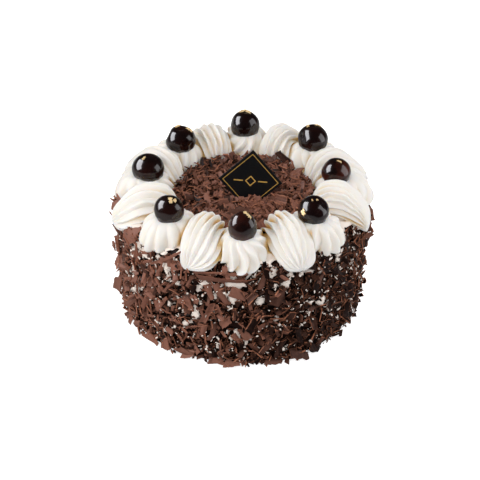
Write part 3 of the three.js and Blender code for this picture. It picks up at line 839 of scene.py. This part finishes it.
# Flakes that stand out on the side: place round the cake and height of the middle, length, width and
# spin (0 lies level, 90 stands up), and what is unlike the usual: tilt about its own length, how far
# its long edges curl out (below 0: in), how far it stands off and how pale it is, from 0 to 1.
usualFlake = dict(tilt=0, curl=0, stand=2.4, pale=0.4)
singleFlakes = [
    (-99, 76, 32, 6, -1, dict(tilt=20, stand=3.6, pale=0)),
    (-104, 81, 22, 3, 9, dict(stand=3.8, pale=0.5)),
    (-93, 82, 14, 2.4, 3, dict(stand=3.8)),
    (-98, 84.5, 4, 3.4, 85, dict(stand=4.6, pale=0.5)),
    (-105, 64, 12, 5, -68, dict(curl=-0.6)),
    (-100, 63, 19, 6, -64, dict(curl=-0.9)),
    (-106, 46, 19, 5, 66, dict(curl=1.6, pale=0.3)),
    (-92, 64, 12, 8, -28, dict(pale=0.7)),
    (-81, 77, 17, 4.6, 74, dict(curl=-0.9, stand=2.8)),
    (-74, 60, 16, 10, 60, dict(curl=-1.3, stand=3)),
    (-73, 77, 10, 6, 118, dict(curl=-0.3)),
    (-98, 40, 9, 6, 44, dict(curl=0.9, pale=0.7)),
    (-81, 36, 8, 4, 24, dict(pale=0.7)),
    (-93, 26, 9, 3.4, -62, dict(pale=0.6)),
    (-78, 25, 12, 5, 80, dict(curl=-0.5)),
    (-99, 12, 8, 6, 40, dict(pale=0.75)),
    (-84, 15, 14, 4.4, -62, dict(curl=-0.6, pale=0.3)),
    (-112, 56, 7, 6, -40, dict(pale=0.95)),
    (-115, 50, 10, 5, -60, {}),
    (-69, 48, 13, 3, 38, dict(curl=0.3)),
    (-151, 81, 18, 12, 36, dict(pale=1)),
    (-145, 72, 18, 2.6, 90, dict(pale=0.85)),
    (-127, 81, 30, 2.4, 37, dict(stand=3.2, pale=0.6)),
    (-135, 65, 7, 4, 62, dict(curl=-0.5, pale=0.95)),
    (-130, 70, 14, 3, 66, dict(curl=-0.6, pale=0.65)),
    (-119, 80, 14, 5, 24, dict(curl=-0.3)),
    (-124, 61, 18, 1.6, 54, dict(stand=3.4, pale=0.95)),
    (-130, 58, 10, 1.6, -58, dict(stand=3.4, pale=0.85)),
    (-130, 41, 17, 4, 56, dict(curl=-0.6, pale=0.75)),
    (-148, 46, 12, 4, 58, dict(curl=0.5, pale=0.3)),
    (-58, 78, 10, 5, -34, dict(curl=-0.3)),
    (-52, 82, 9, 6, 60, dict(curl=-0.4)),
    (-49, 71, 10, 6, 78, dict(curl=-0.3)),
    (-40, 58, 24, 4, -58, dict(stand=3, pale=0.6)),
    (-55, 62, 15, 5, 86, dict(curl=-0.3)),
    (-31, 36, 22, 5, -50, dict(curl=-0.3)),
    (-35, 76, 12, 4, -78, {}),
    (-163, 61, 14, 5, 85, dict(tilt=-10, curl=1.4, stand=3.4, pale=0.8)),
    (-165, 24, 19, 6, 65, dict(tilt=24, curl=1.6, stand=4.6, pale=0.5)),
    (-170, 54, 9, 4, 65, dict(tilt=25, curl=0.4, stand=5.4)),
    (-172, 79, 9, 3.5, 35, dict(tilt=20, stand=5.6)),
    (-172, 88, 11, 6, 110, dict(tilt=15, stand=4.4, pale=0.7)),
    (-9, 80, 12, 4.4, 84, dict(tilt=-62, stand=5.2, pale=1.4)),
    (-9.5, 70, 8, 3.8, 74, dict(tilt=60, stand=5.2, pale=1.3)),
    (-8, 60, 4.6, 3.8, 96, dict(tilt=-62, stand=5, pale=1.4)),
    (-7.5, 38, 7, 3, 80, dict(tilt=60, stand=4, pale=1.3)),
    (-64, 4, 15, 5, -26, dict(tilt=-48, curl=0.5, stand=5)),
    (-55, 4, 10, 5, -34, dict(tilt=-40, stand=3.4)),
    (-76, 3, 12, 3, -16, dict(tilt=-50, stand=3)),
    (-95, 3, 11, 5, 8, dict(tilt=-36, stand=3)),
    (-101, 4, 9, 4, -24, dict(tilt=-30, stand=3)),
    (-116, 5, 10, 5, 24, dict(tilt=-30, stand=3.4)),
    (-136, 5, 11, 4, -22, dict(tilt=-30, stand=3.4, pale=0.7)),
    (-30, 10, 18, 6, -54, dict(tilt=-20, stand=3)),
    (-155, 6, 17, 4, 40, dict(curl=1, stand=3, pale=0.2)),
    (60, 62, 20, 9, 30, dict(tilt=6, curl=1.4)),
    (118, 54, 18, 8, -60, dict(tilt=-6, curl=-1)),
    (150, 70, 16, 9, 15, dict(curl=-0.8, pale=0.7)),
    (28, 44, 16, 7, 80, dict(curl=1.2)),
    (92, 30, 17, 9, 40, dict(tilt=8, curl=0.6, pale=0.7)),
    (172, 38, 15, 7, 100, dict(curl=1.2)),
]
slab = dict(usualKind, cells=(5, 4), thick=0.9, ragged=0.5, taper=0.6, skew=0.6, lean=0.6, sharp=35, seed=105)


def singleFlake(draw, at, middle, long, wide, spin, item):
    # a four-cornered plate laid along the coat's curve: tapered and skewed, spun by the usual two
    # sines and cosines, with its distance out from stand-off, tilt and the square of its width for curl
    u, v = plateGrid(slab["cells"])
    border = ((np.abs(u) == 1) | (np.abs(v) == 1))[..., None]
    ragged = slab["ragged"] * border * draw.uniform(-1, 1, (*u.shape, 2))
    across = wide / 2 * v * (1 - draw.uniform(0, slab["taper"]) * (u + 1) / 2) + ragged[..., 1]
    along = long / 2 * u + draw.uniform(-1, 1) * slab["skew"] * across + ragged[..., 0]
    sine, cosine = math.sin(math.radians(spin)), math.cos(math.radians(spin))
    height = middle + along * sine + across * cosine
    height += max(0, flakeLimits["floor"] - height.min())
    turn = math.radians(at) + (along * cosine - across * sine) / drum["radius"]
    lean = slab["lean"] * (draw.uniform(-1, 1) * u + draw.uniform(-1, 1) * v)
    off = item["stand"] + lean + math.tan(math.radians(item["tilt"])) * across + item["curl"] * v ** 2
    out = coatRadius(turn, np.clip(height, 0, cakeTop)) + off
    sheets = [fromPolar(out + half, turn, height) for half in (slab["thick"] / 2, -slab["thick"] / 2)]
    return np.stack(sheets).reshape(-1, 3)


def addSingles():
    draw = np.random.default_rng(slab["seed"])
    items = [(*place, dict(usualFlake, **other)) for *place, other in singleFlakes]
    placed = np.stack([singleFlake(draw, *item) for item in items])
    pale = np.array([item[-1]["pale"] for item in items])
    addFlakes("sideSingles", placed, slab, draw, pale, 0.7 * pale - 0.3)


addSingles()

# The disc of flakes on top, with painted light to the right and painted shade at the back, and the heap
# of chips at the card's lower tip.
disc = dict(reach=50.5, pale=-0.06, spread=0.68, outer=0.4, right=0.48, back=-0.22)
heap = dict(middle=(5, -19), size=(12, 5.5), high=4.5)
# Each layer on top: name, kind, how many, how far they stand off, seed, and whether they are heaped.
topLayers = [
    ("topCrumbs", crumb, 2600, (-0.2, 2.8), 201, False), ("topChips", chip, 1500, (-0.2, 3.4), 202, False),
    ("topFlakes", dict(flake, length=(4.4, 8), tilt=56), 300, (0, 3.4), 203, False),
    ("topShavings", dict(shaving, length=(8, 13)), 30, (1.2, 3.2), 204, False),
    ("topHeap", dict(chip, length=(3, 7), tilt=50), 240, (0.2, 1.6), 206, True),
]


def addTopLayer(name, kind, count, stand, seed, heaped):
    # plates spread evenly over the disc by the root of a random share, or heaped as a bell
    draw = np.random.default_rng(seed)
    turn = draw.uniform(-np.pi, np.pi, count)
    out = disc["reach"] * np.sqrt(draw.uniform(0, 1, count))
    middle = fromPolar(out, turn, 0 * out + cakeTop)
    if heaped:
        aside = draw.normal(0, 0.5, (count, 2)) * heap["size"]
        middle[:, :2] = aside + heap["middle"]
        hump = np.exp(-((aside / heap["size"]) ** 2).sum(axis=1))
        middle[:, 2] += draw.uniform(0, 1, count) * heap["high"] * hump
    plates = tilted(draw, brokenPlates(draw, count, kind), kind)
    plates[..., 2] += (draw.uniform(*stand, count) - plates[..., 2].min(axis=1))[:, None]
    placed = plates + middle[:, None, :]
    outer = np.clip((placed[..., 2].max(axis=1) - cakeTop) / 5, 0, 1)
    # a random tone, with painted light on outer flakes and to the right and painted shade at the back
    pale = draw.normal(disc["pale"], disc["spread"], count) + disc["outer"] * outer ** 1.5
    pale += (disc["right"] * middle[:, 0] + disc["back"] * middle[:, 1]) / disc["reach"]
    addFlakes(name, placed, kind, draw, outer, pale)


for layer in topLayers:
    addTopLayer(*layer)

# Flakes that stand up from the disc: place (x and y), height of the foot, length, width, which way the
# face looks, how far it leans back from upright, spin in its own plane and how pale it is.
standingFlakes = [
    ((29.5, 38.5), 90, 13, 5.4, -60, 20, 128, -0.25), ((22, 40), 89, 9, 5, -110, 44, 80, 0),
    ((-8, 45), 88, 8, 5, -80, 35, 100, 0.2), ((-2, -17), 89, 8, 4, -75, 48, 70, 0.6),
    ((11, -18), 89, 8, 4, -110, 44, 110, 0.5),
]


def standingFlake(draw, place, foot, long, wide, faces, lean, spin, pale):
    # one shaving spun in its plane, leaned back from upright, turned to face its way and lifted until
    # its lowest point is at the foot
    kind = dict(shaving, length=(long, long), slim=(wide / long, wide / long), roll=0.6)
    upright = rotation(2, np.radians([faces + 90])) @ rotation(0, np.radians([90 - lean]))
    plate = rotated(upright @ rotation(2, np.radians([spin])), brokenPlates(draw, 1, kind))
    plate[..., 2] += foot - plate[..., 2].min()
    return plate + [*place, 0]


def addStanding():
    draw = np.random.default_rng(205)
    placed = np.concatenate([standingFlake(draw, *item) for item in standingFlakes])
    pale = np.array([item[-1] for item in standingFlakes])
    addFlakes("topStanding", placed, shaving, draw, pale, pale)


addStanding()

cherryLook = dict(flesh=rgb(0.0045, 0.0010, 0.0009), red=rgb(0.075, 0.012, 0.005), roughness=0.3, gloss=0.1)


def cherrySockets(wire):
    # near black, flushed with red in soft patches, under a clear coat of syrup
    flush = noise(wire, 70, 2.0).between(0.35, 0.75) * attribute(wire, "red")
    return {
        "Base Color": flush.mixed(cherryLook["flesh"], cherryLook["red"]),
        "Roughness": cherryLook["roughness"], "Specular IOR Level": 0.1,
        "Coat Weight": 1.0, "Coat Roughness": cherryLook["gloss"], "Coat IOR": 1.5,
        "Normal": bump(wire, noise(wire, 260, 3.0, 0.55), 0.12, 0.3),
    }


cherrySyrup = addMaterial("cherrySyrup", cherrySockets)
cherry = dict(
    height=18, columns=120, rows=80, dimple=0.05, dimpleSize=0.03, dents=13, dentDepth=0.06,
    dentSize=(0.16, 0.5), lumps=0.045, grain=0.006,
)
# Each cherry: place round the cake, distance out, width, its height over its width, how much red shows
# in it and how deep its dents are.
cherryList = [
    (1, 66.5, 21.5, 0.98, 1, 1), (43, 71, 23.2, 0.95, 0.12, 1), (89, 69.5, 22.4, 1.02, 0.12, 1),
    (135, 66.5, 23, 0.94, 0.12, 2.2), (175, 69, 23.6, 0.9, 0.12, 1), (-136.5, 70.5, 21.5, 1, 0.12, 1),
    (-90.5, 70, 19.6, 1.2, 0.4, 1), (-46, 69, 22.2, 0.97, 0.12, 1),
]


def cherryReach(way, number, crumple):
    # the skin's distance from the middle, as a share of the radius: a ball with a dimple on top, a
    # few soft dents and a wrinkled lower third
    draw = np.random.default_rng(400 + number)
    reach = 1 - cherry["dimple"] * np.exp(-((1 - way[..., 2]) / cherry["dimpleSize"]))
    for dent in range(cherry["dents"]):
        middle = draw.normal(size=3)
        middle /= np.linalg.norm(middle)
        size = draw.uniform(*cherry["dentSize"])
        depth = cherry["dentDepth"] * crumple * draw.uniform(0.2, 1)
        reach = reach - depth * bell(np.arccos(np.clip(way @ middle, -1, 1)), size)
    low = np.clip(0.1 - way[..., 2], 0, 1)
    reach = reach + cherry["lumps"] * low * softNoise(way * 10, 5, 500 + number)
    return reach + cherry["grain"] * softNoise(way * 10, 9, 600 + number)


def cherryPoint(turn, along, number, width, tall, crumple):
    # a ball whose radius is the skin's reach in each direction, stretched upwards by tall
    dip = np.pi * along
    way = fromPolar(np.sin(dip), turn, np.cos(dip))
    return way * cherryReach(way, number, crumple)[..., None] * width / 2 * [1, 1, tall]


def addCherry(number, at, out, width, tall, red, crumple):
    details = number, width, tall, crumple
    points, faces = closedSurface(cherryPoint, cherry["columns"], cherry["rows"], *details)[:2]
    points = turned(points, at, out, cakeTop + cherry["height"])
    layers = {"red": ("POINT", np.full(len(points), red))}
    addPiece(f"syrupCherry_{number}", points, faces, cherrySyrup, [f"cherry_{number}"], layers)


for number, item in enumerate(cherryList, 1):
    addCherry(number, *item)
print("cherries:", len(cherryList))

goldLook = dict(pale=rgb(1.0, 0.84, 0.55), deep=rgb(0.95, 0.62, 0.24), roughness=0.35)


def leafSockets(wire):
    creases = noise(wire, 900, 3.0, 0.6)
    return {
        "Base Color": creases.mixed(goldLook["deep"], goldLook["pale"]), "Metallic": 0.3,
        "Roughness": goldLook["roughness"], "Normal": bump(wire, creases, 0.8, 0.4),
    }


goldLeaf = addMaterial("goldLeaf", leafSockets)
leaf = dict(cells=(8, 6), thick=0.12, ragged=0.55, crinkle=0.45, lift=0.25, sharp=50, seed=61)
# Scraps of leaf: which cherry, the way to the scrap from the cherry's middle (degrees round and up),
# its length and width in mm, and its spin.
leafList = [
    (3, 120, 74, 7.5, 3.0, 10), (3, 20, 76, 4.5, 3.4, 50), (2, 165, 70, 4.2, 2.2, 15),
    (2, 30, 66, 5.2, 2.6, 70), (1, -54, 76, 3.6, 1.8, 120), (8, -134, 20, 4.4, 3.0, 140),
    (8, -120, 75, 2.0, 1.2, 130), (8, -45, 75, 1.7, 1.4, 30), (7, -15, 70, 6.6, 2.4, 60),
    (6, -60, 72, 5.4, 2.6, 75), (6, -30, 62, 3.6, 2.2, 20), (5, -130, 72, 3.6, 2.2, 110),
    (4, 120, 72, 5.0, 2.4, 20), (4, -4, 56, 5.2, 2.6, 80),
]


def leafPoints(draw, number, around, up, long, wide, spin):
    # a ragged scrap of foil laid over the cherry's skin: it follows the ball and crinkles off it
    at, reach, width, tall, red, crumple = cherryList[number - 1]
    u, v = plateGrid(leaf["cells"])
    edge = np.maximum(np.abs(u), np.abs(v)) ** 2
    x, y = (size / 2 * (w + leaf["ragged"] * edge * draw.uniform(-1, 0.5, w.shape) * np.sign(w))
            for size, w in ((long, u), (wide, v)))
    sine, cosine = math.sin(math.radians(spin)), math.cos(math.radians(spin))
    x, y = x * cosine - y * sine, x * sine + y * cosine
    height = leaf["lift"] + leaf["crinkle"] * draw.uniform(0, 1, u.shape) * (0.4 + edge)
    around, up = math.radians(around), math.radians(up)
    out = fromPolar(math.cos(up), around, math.sin(up))
    aside = np.array([-math.sin(around), math.cos(around), 0])
    way = out * width / 2 + x[..., None] * aside + y[..., None] * np.cross(out, aside)
    way /= np.linalg.norm(way, axis=-1, keepdims=True)
    at = math.radians(at)
    back = np.array([[math.cos(at), math.sin(at), 0], [-math.sin(at), math.cos(at), 0], [0, 0, 1]])
    skin = way * (cherryReach(way @ back.T, number, crumple) * width / 2)[..., None] * [1, 1, tall]
    middle = fromPolar(reach, at, cakeTop + cherry["height"])
    sheets = [middle + skin + way * (height + off)[..., None] for off in (leaf["thick"], 0)]
    return np.stack(sheets).reshape(-1, 3)


draw = np.random.default_rng(leaf["seed"])
scraps = np.stack([leafPoints(draw, *item) for item in leafList])
leafFaces = plateFaces(leaf["cells"], len(scraps))[0]
addPiece("goldLeafScraps", scraps, [leafFaces], goldLeaf, sharpAbove=leaf["sharp"])
print("gold leaf:", len(leafList), "scraps")

card = dict(
    side=32.3, thick=0.9, place=(5, -9.6, 105.3), lean=14, roll=-4.8, bevel=0.12, sharp=30, lineInset=2.0,
    lineWidth=0.42, raised=0.07, sunk=0.02, lozenge=2.8, lozengeLine=0.7, bar=(6.6, 0.8), barGap=1.4,
    black=(rgb(0.0025, 0.0025, 0.003), rgb(0.006, 0.006, 0.007)),
    gold=(rgb(0.62, 0.36, 0.07), rgb(0.82, 0.52, 0.14)),
)


def cardSockets(wire):
    fibre = noise(wire, 1600, 3.0, 0.6)
    return {
        "Base Color": fibre.mixed(*card["black"]), "Roughness": fibre * 0.12 + 0.36,
        "Specular IOR Level": 0.15, "Normal": bump(wire, fibre, 0.15, 0.05),
    }


def foilSockets(wire):
    return {"Base Color": noise(wire, 700, 2.0).mixed(*card["gold"]), "Metallic": 0.5, "Roughness": 0.42}


cardBlack, cardGold = addMaterial("cardBlack", cardSockets), addMaterial("cardGold", foilSockets)


def addCardPart(name, loops, ends, material=cardGold, replaces=()):
    # loops of four points, joined by walls and closed by the end faces, from the card's own plane
    # (x across, z up, -y forwards) to its place: rolled, leaned, moved
    points = np.array(loops).reshape(-1, 3)
    faces = np.concatenate([gridFaces(len(loops), 4, True), ends])
    lean, roll = math.radians(-card["lean"]), math.radians(-card["roll"])
    turn = Matrix.Rotation(lean, 3, "X") @ Matrix.Rotation(roll, 3, "Y")
    points = points @ np.array(turn).T + card["place"]
    addPiece(name, points, [faces], material, replaces, sharpAbove=card["sharp"])


def squareLoop(half, depth):
    # the four corners of a square standing on one corner, at a depth along y
    reach = half * math.sqrt(2)
    return [[reach, depth, 0], [0, depth, reach], [-reach, depth, 0], [0, depth, -reach]]


def addCard():
    half, edge, back = card["side"] / 2, card["bevel"], card["thick"] / 2
    steps = ((half - edge, -back), (half, -back + edge), (half, back - edge), (half - edge, back))
    ends = [[3, 2, 1, 0], [12, 13, 14, 15]]
    addCardPart("cardPlate", [squareLoop(*step) for step in steps], ends, cardBlack, ["card"])
    sunk, raised = -back + card["sunk"], -back - card["raised"]
    border = half - card["lineInset"]
    ends = [[12, 13, 1, 0], [13, 14, 2, 1], [14, 15, 3, 2], [15, 12, 0, 3]]
    for name, outer, line in (("cardBorder", border, card["lineWidth"]),
                              ("cardLozenge", card["lozenge"], card["lozengeLine"])):
        steps = ((outer, sunk), (outer, raised), (outer - line, raised), (outer - line, sunk))
        addCardPart(name, [squareLoop(*step) for step in steps], ends)
    long, tall = card["bar"][0] / 2, card["bar"][1] / 2
    reach = card["lozenge"] * math.sqrt(2) + card["barGap"] + long
    corners = ((long, -tall), (long, tall), (-long, tall), (-long, -tall))
    for name, middle in (("cardBarLeft", -reach), ("cardBarRight", reach)):
        loops = [[[middle + x, depth, z] for x, z in corners] for depth in (sunk, raised)]
        addCardPart(name, loops, [[0, 1, 2, 3], [7, 6, 5, 4]])
    print("card placed")


addCard()

stage = dict(
    floor=4.0, seen=rgb(0.9, 0.9, 0.9), bounce=rgb(0.45, 0.45, 0.45), glow=rgb(0.74, 0.74, 0.74),
    ambient=0.35, inGloss=0.03, backdrop=1.05, lampsAimAt=(0, 0, 0.1),
)


def floorSockets(wire):
    # brighter where it is seen directly than in the light that it bounces
    seen = wire.node("LightPath", {}, {})
    return {
        "Base Color": seen.mixed(stage["bounce"], stage["seen"]), "Roughness": 0.9, "Specular IOR Level": 0.0,
        "Emission Color": seen.mixed(rgb(0, 0, 0), stage["glow"]), "Emission Strength": 1.0,
    }


def addFloor():
    half = stage["floor"] / 2
    mesh = bpy.data.meshes.new("floor")
    corners = [(-half, -half, 0), (half, -half, 0), (half, half, 0), (-half, half, 0)]
    mesh.from_pydata(corners, [], [(0, 1, 2, 3)])
    mesh.materials.append(addMaterial("floorWhite", floorSockets))
    floor = bpy.data.objects.new("floor", mesh)
    bpy.context.scene.collection.objects.link(floor)


def addWorld():
    # one level where the backdrop is seen, one in gloss and one for all other light
    world = bpy.data.worlds.new("studio")
    bpy.context.scene.world = world
    world.use_nodes = True
    world.node_tree.nodes.clear()
    wire = Wire(world.node_tree)
    seen, gloss = (wire.node("LightPath", {}, {}, out) for out in (0, 3))
    ambient = stage["ambient"]
    level = seen * (stage["backdrop"] - ambient) + gloss * (stage["inGloss"] - ambient) + ambient
    light = wire.node("Background", {}, {"Color": rgb(1, 1, 1), "Strength": level})
    wire.node("OutputWorld", {}, {"Surface": light})


# Softboxes: place in metres, size across and up, radiance, colour, whether they light matt surfaces
# and show in gloss, and roll in degrees.
lightList = [
    ("keyLeft", (-0.66, -0.28, 0.40), (0.42, 0.46), 5.0, (1.0, 0.985, 0.965), True, False, 0),
    ("frontHigh", (0.05, -0.90, 0.80), (1.0, 1.0), 1.9, (1.0, 1.0, 1.0), True, False, 0),
    ("stripLeft", (-0.58, 0.03, 0.49), (0.45, 0.8), 10.5, (0.95, 0.95, 1.0), False, True, 60),
    ("fillRight", (0.70, -0.10, 0.30), (0.5, 0.7), 2.3, (0.99, 0.98, 1.0), True, True, 0),
    ("backHigh", (0.10, 0.95, 0.70), (1.0, 0.8), 2.3, (1.0, 0.99, 0.97), True, False, 0),
]


def addLight(name, place, size, radiance, color, matt, gloss, roll):
    lamp = bpy.data.lights.new(name, "AREA")
    lamp.shape = "RECTANGLE"
    lamp.size, lamp.size_y = size
    lamp.energy = radiance * math.pi * lamp.size * lamp.size_y
    lamp.color = color
    holder = bpy.data.objects.new(name, lamp)
    holder.location = place
    aim = (Vector(place) - Vector(stage["lampsAimAt"])).to_track_quat("Z", "Y").to_matrix()
    holder.rotation_euler = (aim @ Matrix.Rotation(math.radians(roll), 3, "Z")).to_euler()
    holder.visible_camera, holder.visible_diffuse, holder.visible_glossy = False, matt, gloss
    bpy.context.scene.collection.objects.link(holder)


# Lengths in metres; focal length, image side and the point aimed at are in pixels.
camera = dict(
    elevation=34.69, distance=0.8896, target=0.05, focal=1196.4, image=480, aim=(243.44, 237.01), sensor=36,
)


def addCamera():
    lens = bpy.data.cameras.new("view")
    lens.sensor_width = camera["sensor"]
    lens.lens = camera["focal"] * camera["sensor"] / camera["image"]
    half = camera["image"] / 2
    lens.shift_x = (half - camera["aim"][0]) / camera["image"]
    lens.shift_y = (camera["aim"][1] - half) / camera["image"]
    angle, away = math.radians(camera["elevation"]), camera["distance"]
    holder = bpy.data.objects.new("view", lens)
    holder.location = (0, -away * math.cos(angle), camera["target"] + away * math.sin(angle))
    holder.rotation_euler = (math.pi / 2 - angle, 0, 0)
    bpy.context.scene.collection.objects.link(holder)
    bpy.context.scene.camera = holder


addFloor()
addWorld()
for light in lightList:
    addLight(*light)
addCamera()
bpy.context.scene.view_settings.view_transform = "Standard"
print("floor, lights and camera set")
